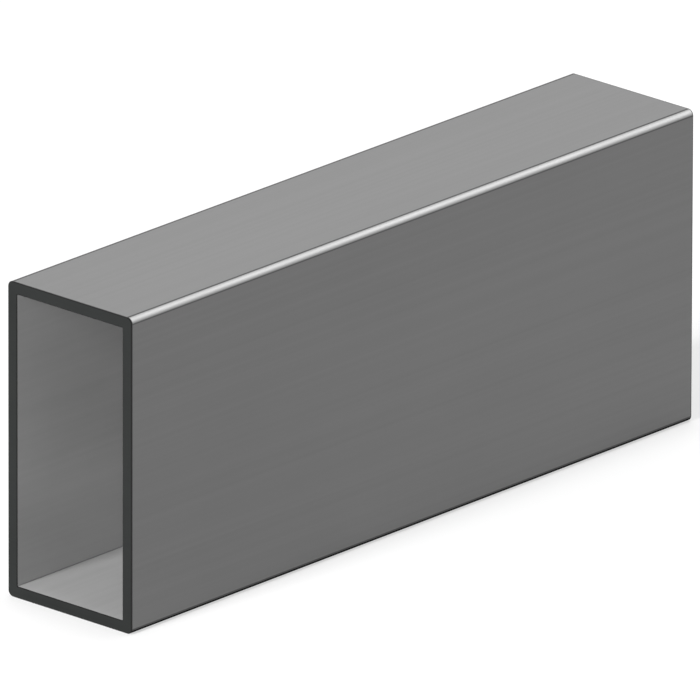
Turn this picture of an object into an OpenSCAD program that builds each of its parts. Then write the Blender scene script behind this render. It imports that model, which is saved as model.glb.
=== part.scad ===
// Rectangular hollow steel section, sawn to length, standing on its narrow side.
// X runs along the tube, Y across its narrow side and Z up its tall side.
// The origin lies on the ground, under the middle of the tube.

/* [Section] */
// Outside width, across the narrow side (mm)
section_width = 40; // [25:1:120]
// Outside height, across the tall side (mm)
section_height = 80; // [25:1:250]
// Wall thickness, the same all round (mm)
wall = 3; // [1.5:0.1:8]
// Outside corner radius (mm)
outer_corner_radius = 1.5; // [0.5:0.1:8]
// Inside corner radius, close to a sharp corner (mm)
inner_corner_radius = 0.2; // [0.1:0.1:4]

/* [Length and ends] */
// Length between the two sawn ends (mm)
tube_length = 200; // [50:1:6000]
// Bevel that takes the burr off the sawn edges, outside and inside (mm)
end_bevel = 0.2; // [0.05:0.05:0.4]

/* [Hidden] */
$fn = 64;

// The clear space inside the walls
bore_width = section_width - 2 * wall;
bore_height = section_height - 2 * wall;

// An outside corner rounder than this would be thinner than the wall beside it
corner_radius = min(outer_corner_radius, wall + inner_corner_radius);

// How far the bore's cutter runs past each sawn end
cutter_overrun = 1;

// A flat bar along X with its ends bevelled at 45 degrees on two opposite faces.
// A negative bevel flares the ends instead.
module bevelled_slab(length, depth, across, bevel) {
    half_length = length / 2;
    half_depth = depth / 2;
    shoulder = half_length - abs(bevel);
    rotate([90, 0, 0])
        linear_extrude(across, center = true)
            polygon([
                [-half_length, half_depth - bevel],
                [-shoulder, half_depth],
                [shoulder, half_depth],
                [half_length, half_depth - bevel],
                [half_length, bevel - half_depth],
                [shoulder, -half_depth],
                [-shoulder, -half_depth],
                [-half_length, bevel - half_depth]
            ]);
}

// One rounded corner of the bar: a round rod along X with the same bevelled ends
module bevelled_rod(length, radius, bevel) {
    half_length = length / 2;
    shoulder = half_length - abs(bevel);
    rotate([90, 0, 90])
        rotate_extrude()
            polygon([
                [0, -half_length],
                [radius - bevel, -half_length],
                [radius, -shoulder],
                [radius, shoulder],
                [radius - bevel, half_length],
                [0, half_length]
            ]);
}

// A rectangular bar along X with rounded corners and bevelled ends, centred on the origin
module rounded_bar(length, width, height, radius, bevel) {
    bevelled_slab(length, height, width - 2 * radius, bevel);
    rotate([90, 0, 0])
        bevelled_slab(length, width, height - 2 * radius, bevel);
    for (side = [-1, 1], level = [-1, 1])
        translate([0, side * (width / 2 - radius), level * (height / 2 - radius)])
            bevelled_rod(length, radius, bevel);
}

// The tube: the outside bar with the bore cut right through it
module tube() {
    color("dimgray")
        translate([0, 0, section_height / 2])
            difference() {
                rounded_bar(tube_length, section_width, section_height, corner_radius, end_bevel);
                rounded_bar(
                    tube_length + 2 * cutter_overrun, bore_width, bore_height,
                    inner_corner_radius, -(end_bevel + cutter_overrun)
                );
            }
}

tube();
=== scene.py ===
# %% [markdown]
# # A sawn length of rectangular steel tube
# The object is one piece of stock: steel strip rolled into a box section and sawn square at both
# ends. There is little to hide behind, so the lesson is about three things that make plain metal
# look real: true rounded corners, crisp sawn edges, and finishes that differ between the rolled
# outside, the bore and the cuts.
# The solid was modelled elsewhere, in metres. It is loaded first, and nothing here moves or
# resizes it.

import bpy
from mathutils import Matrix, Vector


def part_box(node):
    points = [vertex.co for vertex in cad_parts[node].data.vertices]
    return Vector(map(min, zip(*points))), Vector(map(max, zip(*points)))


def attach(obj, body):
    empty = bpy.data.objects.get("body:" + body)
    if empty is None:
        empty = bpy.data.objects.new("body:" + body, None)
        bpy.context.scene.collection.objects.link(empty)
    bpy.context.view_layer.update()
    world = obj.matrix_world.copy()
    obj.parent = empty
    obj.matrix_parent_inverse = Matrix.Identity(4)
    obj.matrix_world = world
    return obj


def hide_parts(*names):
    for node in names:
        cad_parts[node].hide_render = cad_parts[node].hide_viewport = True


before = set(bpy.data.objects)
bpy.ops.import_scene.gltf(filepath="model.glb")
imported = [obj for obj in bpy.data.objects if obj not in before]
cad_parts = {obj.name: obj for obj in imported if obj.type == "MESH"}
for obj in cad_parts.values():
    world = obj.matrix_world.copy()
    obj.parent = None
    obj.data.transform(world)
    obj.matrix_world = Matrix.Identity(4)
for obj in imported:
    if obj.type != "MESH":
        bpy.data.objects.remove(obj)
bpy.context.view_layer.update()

# %% [markdown]
# ## Take the sizes from the solid
# A skin that fits needs the wall, the two corner radii and the bevel on the sawn edges. They could
# be typed in again, but then a change to the solid would leave the skin behind. So they are
# measured: a ray from the axis finds the bore, and the reach of each flat face tells where its
# rounded corner or its bevel begins.

# %% Measure the section
import math
import bpy
from mathutils import Matrix, Vector

SAME_PLANE = 1e-6
X, Y, Z = 0, 1, 2
tube_low, tube_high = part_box("tube")
length, width, height = tube_high - tube_low
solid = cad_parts["tube"]


def flat_reach(along, across, at):
    """How far the flat face that lies at one place on one axis reaches along another axis."""
    points = [point.co for point in solid.data.vertices]
    return max(point[along] for point in points if abs(point[across] - at) < SAME_PLANE)


axis_middle = Vector((0, 0, height / 2))
bore_side = solid.ray_cast(axis_middle, Vector((0, 1, 0)))[1]
wall = tube_high.y - bore_side.y
outside_radius = tube_high.y - flat_reach(Y, Z, tube_high.z)
bore_radius = bore_side.y - flat_reach(Y, Z, tube_high.z - wall)
edge_bevel = tube_high.x - flat_reach(X, Z, tube_high.z)
measured = {
    "wall": wall,
    "outside radius": outside_radius,
    "bore radius": bore_radius,
    "bevel": edge_bevel,
}
print("measured, mm:", {name: round(size * 1000, 3) for name, size in measured.items()})

# %% [markdown]
# ## The camera
# The picture to match shows all parallel edges as parallel lines, as a drawing does. An
# orthographic camera would do that too, but it keeps its scale when it is moved round the tube
# and would crop the long side. A very long lens from far away looks almost the same, and moved
# back a little it takes in any other side.

# %% Work out where the camera stands
LENS_MM = 1700.0
SENSOR_MM = 36.0
CAMERA_TURN = math.radians(-47.746)
CAMERA_RISE = math.radians(20.137)
CAMERA_ROLL = math.radians(0.152)
PICTURE_SHARE = 0.83895
AIM_RIGHT, AIM_UP = -0.00066, 0.00028

back = Vector((
    math.sin(CAMERA_TURN) * math.cos(CAMERA_RISE),
    -math.cos(CAMERA_TURN) * math.cos(CAMERA_RISE),
    math.sin(CAMERA_RISE),
))
level = Vector((0, 0, 1)).cross(back).normalized()
upright = back.cross(level)
right = level * math.cos(CAMERA_ROLL) + upright * math.sin(CAMERA_ROLL)
up = upright * math.cos(CAMERA_ROLL) - level * math.sin(CAMERA_ROLL)
picture_width = PICTURE_SHARE * length
distance = picture_width * LENS_MM / SENSOR_MM
camera_place = axis_middle + right * AIM_RIGHT + up * AIM_UP + back * distance
print("picture width, mm:", round(picture_width * 1000, 1), "distance, m:", round(distance, 3))

# %% Make the camera
FAR_CLIP = 10

camera_data = bpy.data.cameras.new("long lens")
camera_data.lens = LENS_MM
camera_data.sensor_width = SENSOR_MM
camera_data.clip_end = FAR_CLIP * distance
camera = bpy.data.objects.new("camera", camera_data)
camera_axes = Matrix((right, up, back)).transposed().to_4x4()
camera.matrix_world = Matrix.Translation(camera_place) @ camera_axes
bpy.context.scene.collection.objects.link(camera)
bpy.context.scene.camera = camera
bpy.context.scene.view_settings.view_transform = "Standard"
print("camera at, m:", [round(part, 3) for part in camera_place])

# %% [markdown]
# ## Small helpers for node trees
# Shaders and Geometry Nodes are built from the same two moves: add a node, and feed each of its
# inputs by a wire or with a plain value. Every tree below is made with these three helpers.

# %% Helpers for nodes


def feed(tree, node, inputs):
    """Feeds named or numbered inputs of a node, each from a socket or with a plain value."""
    for key, value in inputs.items():
        if isinstance(value, bpy.types.NodeSocket):
            tree.links.new(value, node.inputs[key])
        else:
            node.inputs[key].default_value = value


def add_node(tree, kind, inputs=None, **options):
    """Adds a node, sets its options and feeds its inputs."""
    node = tree.nodes.new(kind)
    for name, value in options.items():
        setattr(node, name, value)
    feed(tree, node, inputs or {})
    return node


def calculate(tree, operation, *values):
    """A Math node on one to three sockets or values."""
    node = add_node(tree, "ShaderNodeMath", dict(enumerate(values)), operation=operation)
    return node.outputs[0]


print("helpers:", [helper.__name__ for helper in (feed, add_node, calculate)])

# %% [markdown]
# ## The room
# The tube stands in a white room. To the eye and in reflections the room is pure white, but a
# room that bright would wash out the steel. So the soft light that it sheds on the tube is much
# weaker. The Light Path node tells the two apart.

# %% Light the room
ROOM_GLOW = 0.22
WHITE = (1, 1, 1, 1)


def seen_directly(tree):
    """1 where something is seen itself, mirrored or through glass, 0 for soft bounced light."""
    path = add_node(tree, "ShaderNodeLightPath").outputs
    passed_on = calculate(tree, "MAXIMUM", path["Is Glossy Ray"], path["Is Transmission Ray"])
    return calculate(tree, "MAXIMUM", path["Is Camera Ray"], passed_on)


room = bpy.data.worlds.new("white room")
room.use_nodes = True
room_tree = room.node_tree
room_light = calculate(room_tree, "MAXIMUM", seen_directly(room_tree), ROOM_GLOW)
feed(room_tree, room_tree.nodes["Background"], {"Color": WHITE, "Strength": room_light})
bpy.context.scene.world = room
print("soft light from the room:", ROOM_GLOW)

# %% [markdown]
# ## The floor
# The floor is a matt pale sheet. Where it is seen, it also glows a little: that keeps it white
# right up to the picture's edge and leaves only a faint shadow under the tube. For bounced light
# it is a darker grey that doesn't glow, so the edge of the tube that faces it stays dark.
# It lies a fiftieth of a millimetre below the tube, because two faces in one plane would show as
# specks.

# %% Mix the floor's finish
FLOOR_PAINT = 0.36
FLOOR_GLOW = 0.55
FLOOR_BOUNCE = 0.26

floor_finish = bpy.data.materials.new("pale floor")
floor_finish.use_nodes = True
floor_tree = floor_finish.node_tree
floor_tree.nodes.remove(floor_tree.nodes["Principled BSDF"])
floor_seen = seen_directly(floor_tree)
paint_tone = add_node(floor_tree, "ShaderNodeMapRange", {
    "Value": floor_seen, "To Min": FLOOR_BOUNCE, "To Max": FLOOR_PAINT,
}).outputs[0]
paint = add_node(floor_tree, "ShaderNodeBsdfDiffuse", {"Color": paint_tone}).outputs[0]
glow_strength = calculate(floor_tree, "MULTIPLY", floor_seen, FLOOR_GLOW)
glow = add_node(floor_tree, "ShaderNodeEmission", {"Strength": glow_strength}).outputs[0]
paint_and_glow = add_node(floor_tree, "ShaderNodeAddShader", {0: paint, 1: glow}).outputs[0]
feed(floor_tree, floor_tree.nodes["Material Output"], {"Surface": paint_and_glow})
print("floor finish:", floor_finish.name)

# %% Lay the floor
FLOOR_HALF = 15.0
FLOOR_GAP = 2e-5

sides = ((-1, -1), (1, -1), (1, 1), (-1, 1))
floor_corners = [(x * FLOOR_HALF, y * FLOOR_HALF, -FLOOR_GAP) for x, y in sides]
floor_mesh = bpy.data.meshes.new("floor")
floor_mesh.from_pydata(floor_corners, [], [(0, 1, 2, 3)])
floor_mesh.materials.append(floor_finish)
floor = bpy.data.objects.new("floor", floor_mesh)
bpy.context.scene.collection.objects.link(floor)
print("floor, m:", 2 * FLOOR_HALF, "square")

# %% [markdown]
# ## The lamps
# All lamps are suns, which light the floor evenly out to the picture's edge. The roof lamp hangs
# almost straight above and helps to make the top the lightest face; it is narrow, so that little
# of it gets into the bore. The bore lamp shines down through the open end onto the bore's floor.
# The low lamp is nearly level and lights the bore's wall and the tall side evenly from end to
# end. The back lamp keeps the far side from going black.
# The edge lamp stands where the rounded top corner mirrors it to the camera, which draws a bright
# line along the tube. It is the only lamp that shows in reflections: seen along the tube, the
# glare of the others would turn the whole top white.

# %% Hang the lamps


def hang_sun(name, towards, strength, softness, glints=False):
    """A distant lamp that shines from one direction, over a disc of so many degrees."""
    data = bpy.data.lights.new(name, "SUN")
    data.energy = strength
    data.angle = math.radians(softness)
    lamp = bpy.data.objects.new(name, data)
    lamp.rotation_mode = "QUATERNION"
    lamp.rotation_quaternion = Vector(towards).to_track_quat("Z", "Y")
    lamp.visible_glossy = glints
    bpy.context.scene.collection.objects.link(lamp)
    print(name, "strength", strength, "softness", softness)


hang_sun("edge lamp", (0.697, -0.298, 0.651), 0.4, 40, glints=True)
hang_sun("bore lamp", (-0.86, 0.0, 0.51), 4.1, 16)
hang_sun("low lamp", (-0.88, -0.47, 0.05), 1.4, 5)
hang_sun("roof lamp", (0.04, 0.0, 0.999), 1.2, 12)
hang_sun("back lamp", (0.45, 0.65, 0.61), 0.6, 40)

# %% [markdown]
# ## Helpers for finishes
# Every finish starts from Object coordinates, moved so that they are measured from the middle of
# the section. Noise that is squeezed across the tube and stretched along it looks like rolled
# metal, and noise of a wide, even grain looks like the clouds in mill scale. The grain is given
# in metres, so the pattern keeps its real size.

# %% Position and noise


def new_finish(name):
    """A material, with its node tree, its shader and a position from the middle of the tube."""
    finish = bpy.data.materials.new(name)
    finish.use_nodes = True
    tree = finish.node_tree
    coordinates = add_node(tree, "ShaderNodeTexCoord")
    place = add_node(tree, "ShaderNodeMapping", {
        "Vector": coordinates.outputs["Object"], "Location": (0, 0, -height / 2),
    })
    return finish, tree, tree.nodes["Principled BSDF"], place.outputs[0]


def noise(tree, place, grain, detail):
    """Noise from 0 to 1 with patches of about so many metres along X, Y and Z."""
    squeeze = tuple(1 / size for size in grain)
    scaled = add_node(tree, "ShaderNodeVectorMath", {0: place, 1: squeeze}, operation="MULTIPLY")
    texture = add_node(tree, "ShaderNodeTexNoise", {
        "Vector": scaled.outputs[0], "Scale": 1.0, "Detail": detail,
    })
    return texture.outputs["Fac"]


def weigh(tree, first, share, second):
    """Adds two noises, the first by its share and the second by the rest."""
    rest = calculate(tree, "MULTIPLY", second, 1 - share)
    return calculate(tree, "MULTIPLY_ADD", first, share, rest)


print("finishes are measured from a height of, mm:", round(height / 2 * 1000, 1))

# %% [markdown]
# ### Ranges and greys
# A noise seldom comes near 0 or 1, so the part of it that is used is spread over the whole range.
# The same helper turns a distance into a soft mask: 0 on one side of a limit and 1 on the other.

# %% Ranges and greys
NOISE_LOW, NOISE_HIGH = 0.3, 0.7


def spread(tree, value, low, high, start=NOISE_LOW, end=NOISE_HIGH, smooth=False):
    """Maps a range, by default the one that a noise mostly keeps to, onto low to high."""
    mapped = add_node(tree, "ShaderNodeMapRange", {
        "Value": value, "From Min": start, "From Max": end, "To Min": low, "To Max": high,
    }, interpolation_type="SMOOTHSTEP" if smooth else "LINEAR")
    return mapped.outputs[0]


def blend(tree, share, first, second):
    """Mixes two colours, from all of the first at 0 to all of the second at 1."""
    mixed = add_node(tree, "ShaderNodeMix", {0: share, 6: first, 7: second}, data_type="RGBA")
    return mixed.outputs[2]


def grey(tone):
    """A grey as a colour."""
    return (tone, tone, tone, 1)


print("noise is spread from", NOISE_LOW, "to", NOISE_HIGH)

# %% [markdown]
# ## The rolled outside
# Mill-finish steel is a satin grey with faint streaks along the rolling direction and soft clouds.
# Each comes from a noise of its own, and the two are mixed into one mottle between two close
# greys. A third, very fine noise is kept for the relief.

# %% Rolled outside: streaks and clouds
MILL_DARK, MILL_LIGHT = 0.160, 0.188
ROLLED_STREAKS = (0.30, 0.0012, 0.0012)
ROLLED_CLOUDS = (0.045, 0.03, 0.03)
ROLLED_PORES = (0.0006, 0.0003, 0.0003)
STREAK_SHARE = 0.4

rolled_steel, tree, shader, place = new_finish("rolled steel")
streaks = noise(tree, place, ROLLED_STREAKS, detail=3)
clouds = noise(tree, place, ROLLED_CLOUDS, detail=4)
pores = noise(tree, place, ROLLED_PORES, detail=2)
mottle = weigh(tree, streaks, STREAK_SHARE, clouds)
tone = blend(tree, spread(tree, mottle, 0, 1), grey(MILL_DARK), grey(MILL_LIGHT))
print("rolled greys:", MILL_DARK, "to", MILL_LIGHT)

# %% [markdown]
# ### Where the flats end
# The rounded corners look different from the flats. They could be picked out in the mesh, but a
# finish that knows how far a point lies past the end of a flat needs no extra edges and blends
# softly. So that distance is worked out first, both across the tube and up or down it.

# %% Rolled outside: distance past the flats


def past_flats(tree, place, half_width, half_height, radius):
    """How far a point lies past the flats' ends, across and up or down, and its height."""
    parts = add_node(tree, "ShaderNodeSeparateXYZ", {0: place}).outputs
    off_middle = calculate(tree, "ABSOLUTE", parts["Y"])
    off_axis = calculate(tree, "ABSOLUTE", parts["Z"])
    across = calculate(tree, "SUBTRACT", off_middle, half_width - radius)
    upward = calculate(tree, "SUBTRACT", off_axis, half_height - radius)
    return across, upward, parts["Z"]


across, upward, level_z = past_flats(tree, place, width / 2, height / 2, outside_radius)
upper = calculate(tree, "GREATER_THAN", level_z, 0.0)
lower = calculate(tree, "SUBTRACT", 1, upper)
flats = [side - 2 * outside_radius for side in (width, height)]
print("flats, mm:", [round(flat * 1000, 2) for flat in flats])

# %% [markdown]
# ### Bright and black corners
# The upper corners are worn towards bare metal, and their grey carries a painted highlight that
# rises from the top's edge and fades towards the side. The lower corners carry painted shade: a
# darker grey where they begin, turning black further round. How far in each change lies is written
# as a share of the corner's radius. The painted shade starts at the dark line where the bottom
# face ends, so half the width of that line is written here too.

# %% Rolled outside: corners
HIGHLIGHT_GREY = 0.51
HIGHLIGHT_FADE_TOP, HIGHLIGHT_FADE_SIDE = 0.5, 0.6
PAINTED_SHADE_GREY = 0.002
SHADE_START_BY, SHADE_START_SHARE = 0.1, 0.5
BLACK_FROM, BLACK_BY = 0.28, 0.38
TOP_LINE_HALF = 0.00042

# Painted highlight: the upper corners' grey is lightened, rising from the top's edge and fading
# towards the side; their extra metal shine is wear.
off_top = spread(tree, across, 0, 1, 0, HIGHLIGHT_FADE_TOP * outside_radius, smooth=True)
off_side = spread(tree, upward, 0, 1, 0, HIGHLIGHT_FADE_SIDE * outside_radius, smooth=True)
wear_and_highlight = calculate(tree, "MULTIPLY", calculate(tree, "MULTIPLY", off_top, off_side), upper)
beside = spread(tree, across, 0, 1, -TOP_LINE_HALF, 0)
# Painted shade: the lower corners darken where they begin and turn black further round, where they
# face away from the light.
shade_start = spread(tree, upward, 0, SHADE_START_SHARE, 0, SHADE_START_BY * outside_radius)
shade_darkest = spread(tree, upward, 0, 1, BLACK_FROM * outside_radius, BLACK_BY * outside_radius)
lower_shade = calculate(tree, "MULTIPLY", beside, calculate(tree, "MAXIMUM", shade_start, shade_darkest))
painted_shade = calculate(tree, "MULTIPLY", lower_shade, lower)
# The painted highlight on the upper corners and the painted shade on the lower ones go into the
# grey here.
tone = blend(tree, wear_and_highlight, tone, grey(HIGHLIGHT_GREY))
tone = blend(tree, painted_shade, tone, grey(PAINTED_SHADE_GREY))
print("rubbed corner:", HIGHLIGHT_GREY, "grimy corner:", PAINTED_SHADE_GREY)

# %% [markdown]
# ### Dark lines
# The rolls leave a thin dark line where the narrow faces end, and a fainter one where the tall
# faces end at the top. The saw leaves a dark rim beside each cut. All are drawn by distance too:
# from the end of a flat, or along the tube from its middle.

# %% Rolled outside: lines
DARK_LINE = 0.03
SIDE_LINE_HALF, SIDE_LINE_SHARE = 0.0003, 0.8
SAW_RIM = 0.0003


def from_middle(tree, place):
    """How far along the tube a point lies from its middle."""
    along = add_node(tree, "ShaderNodeSeparateXYZ", {0: place}).outputs["X"]
    return calculate(tree, "ABSOLUTE", along)


past_top = calculate(tree, "ABSOLUTE", across)
past_side = calculate(tree, "ABSOLUTE", upward)
top_line = spread(tree, past_top, 1, 0, TOP_LINE_HALF / 3, TOP_LINE_HALF, smooth=True)
side_line = spread(tree, past_side, SIDE_LINE_SHARE, 0, 0, SIDE_LINE_HALF, smooth=True)
line = calculate(tree, "MAXIMUM", top_line, calculate(tree, "MULTIPLY", side_line, upper))
rim_start = length / 2 - edge_bevel - SAW_RIM
rim_end = rim_start + SAW_RIM / 2
saw_rim = spread(tree, from_middle(tree, place), 0, 1, rim_start, rim_end, smooth=True)
tone = blend(tree, calculate(tree, "MAXIMUM", line, saw_rim), tone, grey(DARK_LINE))
line_widths = [2 * half for half in (TOP_LINE_HALF, SIDE_LINE_HALF)]
print("dark lines, mm wide:", [round(line_width * 1000, 2) for line_width in line_widths])

# %% [markdown]
# ### Shine and relief
# The satin flats are written as part metal, part dull scale, and the worn, highlighted upper
# corners as nearly bare metal. The black painted shade on the lower corners is written as metal as
# well, and very matt: a metal of a black colour mirrors hardly anything, where a black paint would
# still shine. The streaks and the fine grain give a relief that is just deep enough to break up
# the reflections.

# %% Rolled outside: shader
FLAT_METAL, RUBBED_METAL, SHADE_METAL = 0.3, 0.6, 0.7
SATIN_LOW, SATIN_HIGH = 0.42, 0.50
SHADE_MATT = 0.5
STREAK_DEPTH_SHARE = 0.7
ROLLED_RELIEF = 0.12
RELIEF_DEPTH = 0.00005

metal = calculate(tree, "MULTIPLY_ADD", wear_and_highlight, RUBBED_METAL, FLAT_METAL)
metal = calculate(tree, "MULTIPLY_ADD", painted_shade, SHADE_METAL, metal)
satin = spread(tree, clouds, SATIN_LOW, SATIN_HIGH)
rough = calculate(tree, "MULTIPLY_ADD", painted_shade, SHADE_MATT, satin)
relief = add_node(tree, "ShaderNodeBump", {
    "Strength": ROLLED_RELIEF,
    "Distance": RELIEF_DEPTH,
    "Height": weigh(tree, streaks, STREAK_DEPTH_SHARE, pores),
}).outputs[0]
feed(tree, shader, {"Base Color": tone, "Metallic": metal, "Roughness": rough, "Normal": relief})
print("finish:", rolled_steel.name)

# %% [markdown]
# ## The bore
# Nothing rubs the inside of a tube, so it stays matt. Its greys are written lighter than those of
# the outside, because less light gets in. Most of that light falls on the bore's floor, which
# throws some of it back at the walls, so the walls are toned down towards the floor with painted
# shade. A fine dark line of painted shade runs along each inner corner.

# %% Bore: streaks and clouds
BORE_DARK, BORE_LIGHT = 0.38, 0.44
BORE_STREAKS = (0.25, 0.0015, 0.0015)
BORE_CLOUDS = (0.03, 0.02, 0.02)

bore_steel, tree, shader, place = new_finish("bore steel")
streaks = noise(tree, place, BORE_STREAKS, detail=3)
clouds = noise(tree, place, BORE_CLOUDS, detail=4)
mottle = weigh(tree, streaks, STREAK_SHARE, clouds)
tone = blend(tree, spread(tree, mottle, 0, 1), grey(BORE_DARK), grey(BORE_LIGHT))
print("bore greys:", BORE_DARK, "to", BORE_LIGHT)

# %% Bore: walls, corners and shader
LOW_SHADE, LOW_REACH = 0.16, 0.028
BORE_CORNER_SHADE, BORE_CORNER_SHADE_SHARE = 0.00005, 0.4
BORE_METAL = 0.1
BORE_MATT_LOW, BORE_MATT_HIGH = 0.55, 0.65
BORE_RELIEF = 0.08

bore_half = height / 2 - wall
across, upward, level_z = past_flats(tree, place, width / 2 - wall, bore_half, bore_radius)
on_wall = calculate(tree, "GREATER_THAN", across, 0.0)
low = spread(tree, level_z, LOW_SHADE, 0, -bore_half, LOW_REACH - bore_half, smooth=True)
tone = blend(tree, calculate(tree, "MULTIPLY", low, on_wall), tone, grey(0))
# Painted shade: a fine dark line along each inner corner.
into_corner = calculate(tree, "MINIMUM", across, upward)
line = spread(tree, into_corner, 0, BORE_CORNER_SHADE_SHARE, -BORE_CORNER_SHADE, 0, smooth=True)
tone = blend(tree, line, tone, grey(DARK_LINE))
matt = spread(tree, clouds, BORE_MATT_LOW, BORE_MATT_HIGH)
relief = add_node(tree, "ShaderNodeBump", {
    "Strength": BORE_RELIEF, "Distance": RELIEF_DEPTH, "Height": streaks,
}).outputs[0]
feed(tree, shader, {
    "Base Color": tone, "Metallic": BORE_METAL, "Roughness": matt, "Normal": relief,
})
print("finish:", bore_steel.name)

# %% [markdown]
# ## The sawn ends
# The blade leaves fine parallel marks. The cut is written much darker than the rolled faces, with
# a trace of green in its grey: partly the cut's own darker grey, and partly painted shade for ends
# that face away from the light. The marks run across the tube, so their noise is long across and
# short up the wall. The bevel round each cut is darker still.

# %% Sawn ends: tone
# The cut's grey is partly its own and partly painted shade.
SAWN_DARK = (0.0253, 0.0273, 0.0267, 1)
SAWN_LIGHT = (0.0360, 0.0388, 0.0380, 1)
DARK_BEVEL = 0.018
CUT_MARGIN = 0.1
SAW_MARKS = (0.01, 0.03, 0.0006)
SAWN_CLOUDS = (0.02, 0.012, 0.012)
MARK_SHARE = 0.6

sawn_steel, tree, shader, place = new_finish("sawn steel")
marks = noise(tree, place, SAW_MARKS, detail=3)
clouds = noise(tree, place, SAWN_CLOUDS, detail=3)
mottle = weigh(tree, marks, MARK_SHARE, clouds)
tone = blend(tree, spread(tree, mottle, 0, 1), SAWN_DARK, SAWN_LIGHT)
cut_from = length / 2 - CUT_MARGIN * edge_bevel
on_bevel = calculate(tree, "LESS_THAN", from_middle(tree, place), cut_from)
tone = blend(tree, on_bevel, tone, grey(DARK_BEVEL))
print("sawn greys:", SAWN_DARK[:3], "to", SAWN_LIGHT[:3], "bevel:", DARK_BEVEL)

# %% Sawn ends: shader
SAWN_METAL = 0.8
SAWN_MATT_LOW, SAWN_MATT_HIGH = 0.48, 0.60
MARK_RELIEF, MARK_DEPTH = 0.25, 0.00008

matt = spread(tree, marks, SAWN_MATT_LOW, SAWN_MATT_HIGH)
relief = add_node(tree, "ShaderNodeBump", {
    "Strength": MARK_RELIEF, "Distance": MARK_DEPTH, "Height": marks,
}).outputs[0]
feed(tree, shader, {
    "Base Color": tone, "Metallic": SAWN_METAL, "Roughness": matt, "Normal": relief,
})
print("finish:", sawn_steel.name)

# %% [markdown]
# ## The wall, walked round by Geometry Nodes
# Cut the tube lengthways and its wall shows as a long thin strip with a small bevel at each
# corner. Follow the edge of that strip once round, and the whole skin is one closed walk of eight
# steps. A Boolean of two rounded bars would give the same shape, but with untidy faces on the
# cuts. So the tree starts from one rounded outline and extrudes its edges eight times, as a
# modeller would by hand. Its sizes and finishes are named inputs.

# %% The tree and its inputs
SIZES = ("Length", "Width", "Height", "Wall", "Outside Radius", "Bore Radius", "Edge Bevel")
FINISHES = ("Outside Finish", "Bore Finish", "Sawn Finish")

wall_tree = bpy.data.node_groups.new("tube wall", "GeometryNodeTree")
sockets = wall_tree.interface
for name in SIZES:
    sockets.new_socket(name, in_out="INPUT", socket_type="NodeSocketFloat")
sockets.new_socket("Corner Steps", in_out="INPUT", socket_type="NodeSocketInt")
for name in FINISHES:
    sockets.new_socket(name, in_out="INPUT", socket_type="NodeSocketMaterial")
sockets.new_socket("Geometry", in_out="OUTPUT", socket_type="NodeSocketGeometry")
given = add_node(wall_tree, "NodeGroupInput").outputs
print("sockets:", [item.name for item in sockets.items_tree])

# %% [markdown]
# ### Sizes that follow from the inputs
# The bore's size is the outside less two walls, and a bevel makes an outline a little larger or
# smaller. These sums are Math nodes in the tree, so they follow when an input changes.

# %% Work out the sizes in the tree
bevel = given["Edge Bevel"]


def grown(size, offset, times):
    """A size with an offset added so many times, or taken away for a negative number."""
    return calculate(wall_tree, "MULTIPLY_ADD", offset, times, size)


bore_width = grown(given["Width"], given["Wall"], -2)
bore_height = grown(given["Height"], given["Wall"], -2)
half_height = calculate(wall_tree, "MULTIPLY", given["Height"], 0.5)
lift = add_node(wall_tree, "ShaderNodeCombineXYZ", {"Z": half_height}).outputs[0]
print("nodes so far:", len(wall_tree.nodes))

# %% [markdown]
# ### Four outlines
# The walk stops on four rounded outlines: the outside and the bore, and the same two where a bevel
# meets the cut, which is smaller for the outside and larger for the bore. One helper draws them
# all, with the same number of points in the same order, so the points of any two outlines pair up.

# %% Draw the outlines
QUARTER_TURN = math.pi / 2


def outline(across, tall, radius):
    """A rounded rectangle that stands upright across the tube, centred on its axis."""
    sharp = add_node(wall_tree, "GeometryNodeCurvePrimitiveQuadrilateral", {
        "Width": across, "Height": tall,
    })
    rounded = add_node(wall_tree, "GeometryNodeFilletCurve", {
        "Curve": sharp.outputs[0], "Count": given["Corner Steps"], "Radius": radius,
    }, mode="POLY")
    standing = add_node(wall_tree, "GeometryNodeTransform", {
        "Geometry": rounded.outputs[0],
        "Translation": lift,
        "Rotation": (QUARTER_TURN, 0, QUARTER_TURN),
    })
    return standing.outputs[0]


outlines = {
    "outside": outline(given["Width"], given["Height"], given["Outside Radius"]),
    "outside_cut": outline(
        grown(given["Width"], bevel, -2),
        grown(given["Height"], bevel, -2),
        grown(given["Outside Radius"], bevel, -1),
    ),
    "bore": outline(bore_width, bore_height, given["Bore Radius"]),
    "bore_cut": outline(
        grown(bore_width, bevel, 2),
        grown(bore_height, bevel, 2),
        grown(given["Bore Radius"], bevel, 1),
    ),
}
print("outlines:", list(outlines))

# %% [markdown]
# ### The route
# From the outside of the near cut, the steps go across that cut, over the bevel into the bore,
# through the bore, over the bevel to the far cut, across it, over its outer bevel, back along
# the outside, and over the last bevel to the start. Each step names the outline where it lands,
# the place along the tube, and the zone that its faces belong to.

# %% List the eight steps
OUTSIDE, BORE, SAWN = 0, 1, 2

far = calculate(wall_tree, "MULTIPLY", given["Length"], 0.5)
near = calculate(wall_tree, "MULTIPLY", given["Length"], -0.5)
far_bevel = calculate(wall_tree, "SUBTRACT", far, bevel)
near_bevel = calculate(wall_tree, "ADD", near, bevel)
walk = [
    ("bore_cut", near, SAWN),
    ("bore", near_bevel, SAWN),
    ("bore", far_bevel, BORE),
    ("bore_cut", far, SAWN),
    ("outside_cut", far, SAWN),
    ("outside", far_bevel, SAWN),
    ("outside", near_bevel, OUTSIDE),
    ("outside_cut", near, SAWN),
]
print("steps in the walk:", len(walk))

# %% [markdown]
# ### The starting loop
# An extrusion shifts points by an offset, but here every point has to land on an exact spot. So
# the loop carries a named attribute for each outline, where a point can read its spot on it.
# Extruded points take these attributes along.

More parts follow.
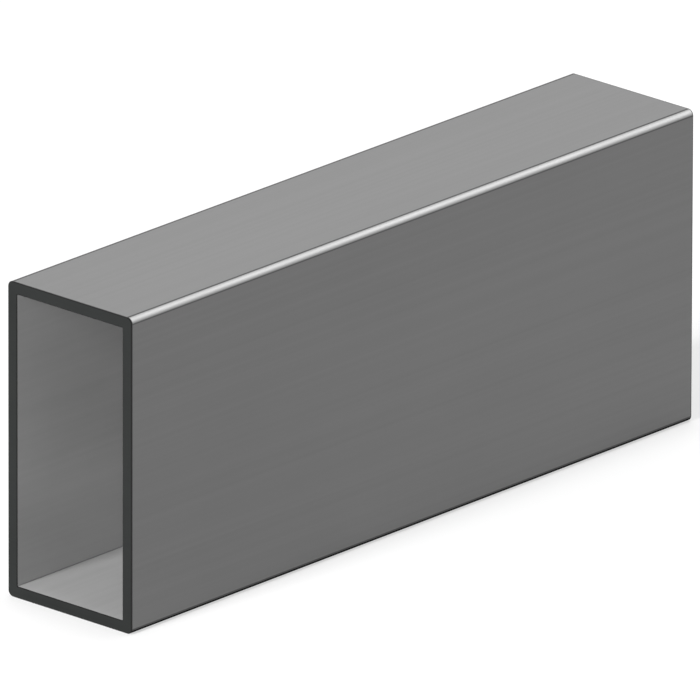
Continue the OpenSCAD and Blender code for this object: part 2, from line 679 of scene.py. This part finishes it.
# %% Store the outlines on the loop
start = add_node(wall_tree, "GeometryNodeCurveToMesh", {"Curve": outlines["outside_cut"]})
loop = start.outputs[0]
here = add_node(wall_tree, "GeometryNodeInputPosition").outputs[0]
number = add_node(wall_tree, "GeometryNodeInputIndex").outputs[0]
for name, curve in outlines.items():
    matching = add_node(wall_tree, "GeometryNodeSampleIndex", {
        "Geometry": curve, "Value": here, "Index": number,
    }, data_type="FLOAT_VECTOR")
    stored = add_node(wall_tree, "GeometryNodeStoreNamedAttribute", {
        "Geometry": loop, "Name": name, "Value": matching.outputs[0],
    }, data_type="FLOAT_VECTOR")
    loop = stored.outputs[0]
print("attributes on the loop:", len(outlines))

# %% [markdown]
# ### The walk
# Extrude Mesh in its Edges mode pulls a ring of faces out of a loop. It is used with no offset,
# and the new points are then set down on their next outline. The faces keep the number of their
# zone, for the finishes.

# %% Extrude step by step


def set_down(geometry, name, at, chosen=True):
    """Moves the chosen points onto a named outline, at a place along the tube."""
    spot = add_node(
        wall_tree, "GeometryNodeInputNamedAttribute", {"Name": name}, data_type="FLOAT_VECTOR"
    )
    along = add_node(wall_tree, "ShaderNodeCombineXYZ", {"X": at})
    moved = add_node(wall_tree, "GeometryNodeSetPosition", {
        "Geometry": geometry,
        "Selection": chosen,
        "Position": spot.outputs[0],
        "Offset": along.outputs[0],
    })
    return moved.outputs[0]


skin = set_down(loop, "outside_cut", near)
newest = True
for name, at, zone in walk:
    step = add_node(wall_tree, "GeometryNodeExtrudeMesh", {
        "Mesh": skin, "Selection": newest, "Offset Scale": 0.0,
    }, mode="EDGES")
    newest = step.outputs["Top"]
    skin = set_down(step.outputs["Mesh"], name, at, newest)
    zoned = add_node(wall_tree, "GeometryNodeStoreNamedAttribute", {
        "Geometry": skin, "Selection": step.outputs["Side"], "Name": "zone", "Value": zone,
    }, data_type="INT", domain="FACE")
    skin = zoned.outputs[0]
print("nodes so far:", len(wall_tree.nodes))

# %% [markdown]
# ### Close the skin
# The last step lands on the first loop, so the doubled points are merged. Edges that turn by more
# than 30 degrees stay sharp, which keeps the bevels crisp and lets the rounded corners shade
# smoothly.

# %% Merge and shade
CLOSE_ENOUGH = 1e-6
CREASE = math.radians(30)

merged = add_node(wall_tree, "GeometryNodeMergeByDistance", {
    "Geometry": skin, "Distance": CLOSE_ENOUGH,
})
smooth = add_node(wall_tree, "GeometryNodeSetShadeSmooth", {
    "Geometry": merged.outputs[0], "Shade Smooth": True,
})
bend = add_node(wall_tree, "GeometryNodeInputMeshEdgeAngle").outputs["Unsigned Angle"]
creased = add_node(wall_tree, "FunctionNodeCompare", {
    0: bend, 1: CREASE,
}, operation="GREATER_THAN")
crisp = add_node(wall_tree, "GeometryNodeSetShadeSmooth", {
    "Geometry": smooth.outputs[0], "Selection": creased.outputs[0], "Shade Smooth": False,
}, domain="EDGE")
print("crease angle, degrees:", round(math.degrees(CREASE)))

# %% [markdown]
# ### Give each zone its finish
# The tree ends in Realize Instances and Set Material, because an export keeps only real geometry
# with its own materials. The outside finish is given to all faces first, so that no material slot
# stays empty, and the other two then go to the faces of their zones.

# %% Finish the tree
real = add_node(wall_tree, "GeometryNodeRealizeInstances", {"Geometry": crisp.outputs[0]})
covered = add_node(wall_tree, "GeometryNodeSetMaterial", {
    "Geometry": real.outputs[0], "Material": given["Outside Finish"],
})
skin = covered.outputs[0]
zone_of = add_node(wall_tree, "GeometryNodeInputNamedAttribute", {"Name": "zone"}, data_type="INT")
for zone, name in ((BORE, "Bore Finish"), (SAWN, "Sawn Finish")):
    chosen = add_node(wall_tree, "FunctionNodeCompare", {
        2: zone_of.outputs[0], 3: zone,
    }, data_type="INT", operation="EQUAL")
    finished = add_node(wall_tree, "GeometryNodeSetMaterial", {
        "Geometry": skin, "Selection": chosen.outputs[0], "Material": given[name],
    })
    skin = finished.outputs[0]
add_node(wall_tree, "NodeGroupOutput", {0: skin})
print("nodes in the tree:", len(wall_tree.nodes))

# %% [markdown]
# ## Run the tree once
# The modifier's inputs are set by the identifiers of their sockets, before anything is computed.
# Weighted Normal then lets the large faces decide the shading, so the rounded corners don't tint
# the flats beside them.

# %% Set the modifiers
CORNER_STEPS = 16
LARGE_FACES_FIRST = 100

values = {
    "Length": length,
    "Width": width,
    "Height": height,
    "Wall": wall,
    "Outside Radius": outside_radius,
    "Bore Radius": bore_radius,
    "Edge Bevel": edge_bevel,
    "Corner Steps": CORNER_STEPS,
    "Outside Finish": rolled_steel,
    "Bore Finish": bore_steel,
    "Sawn Finish": sawn_steel,
}
steel_tube = bpy.data.objects.new("steel_tube", bpy.data.meshes.new("steel_tube"))
bpy.context.scene.collection.objects.link(steel_tube)
walker = steel_tube.modifiers.new("walk round the wall", "NODES")
walker.node_group = wall_tree
for item in sockets.items_tree:
    if item.in_out == "INPUT":
        walker[item.identifier] = values[item.name]
even = steel_tube.modifiers.new("even shading", "WEIGHTED_NORMAL")
even.keep_sharp = True
even.weight = LARGE_FACES_FIRST
print("modifiers:", [modifier.name for modifier in steel_tube.modifiers])

# %% [markdown]
# ### Keep a plain mesh
# What the modifiers made becomes an ordinary mesh, and the modifiers and the helper attributes go.
# Nothing live is left on the piece that could change in an export.

# %% Keep a plain mesh
depsgraph = bpy.context.evaluated_depsgraph_get()
computed = steel_tube.evaluated_get(depsgraph)
plain = bpy.data.meshes.new_from_object(computed, depsgraph=depsgraph)
plain.name = "steel_tube"
steel_tube.modifiers.clear()
steel_tube.data = plain
for name in (*outlines, "zone"):
    plain.attributes.remove(plain.attributes[name])
print("faces:", len(plain.polygons), "finishes:", [finish.name for finish in plain.materials])

# %% [markdown]
# ### Check the mesh
# A closed skin has two faces at every edge, and a volume above zero says that its faces point
# outwards.

# %% Check the mesh
import bmesh

probe = bmesh.new()
probe.from_mesh(plain)
open_edges = [edge for edge in probe.edges if len(edge.link_faces) != 2]
volume = probe.calc_volume(signed=True)
print("open edges:", len(open_edges), "volume, mm3:", round(volume * 1e9, 1))
probe.free()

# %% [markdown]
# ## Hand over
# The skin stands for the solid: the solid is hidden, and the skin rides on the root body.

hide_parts("tube")
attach(steel_tube, "root")
